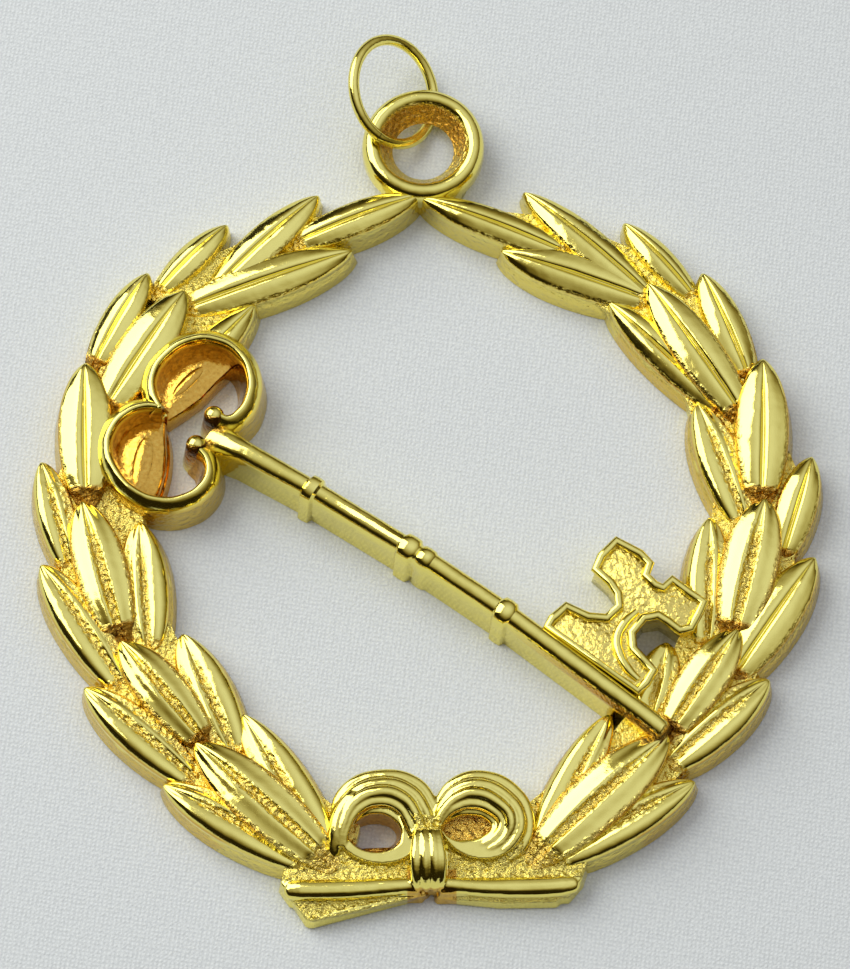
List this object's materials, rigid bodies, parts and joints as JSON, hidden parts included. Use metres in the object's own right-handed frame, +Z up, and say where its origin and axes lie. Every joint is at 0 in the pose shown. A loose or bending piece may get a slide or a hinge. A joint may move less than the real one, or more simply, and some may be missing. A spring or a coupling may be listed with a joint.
{
  "type": "collar jewel",
  "caption": "Cast metal collar jewel: an open laurel wreath tied with a ribbon bow, a hanging eye with a wire jump ring at the top, and a key laid across the wreath.",
  "frame": {"origin": "middle of the jewel's box on the surface that its flat back lies on", "axes": "+Z up out of the jewel's face, +Y from the bow towards the hanging eye, +X to the right as the face is seen"},
  "size_m": [0.076, 0.0896, 0.0082],
  "materials": {
    "gilt_casting": "polished pale gilt with a fine cast grain in the hollows",
    "gilt_wire": "smooth drawn gilt wire"
  },
  "bodies": {
    "root": {"wreath_casting": "gilt_casting", "jump_ring": "gilt_wire"}
  },
  "joints": []
}
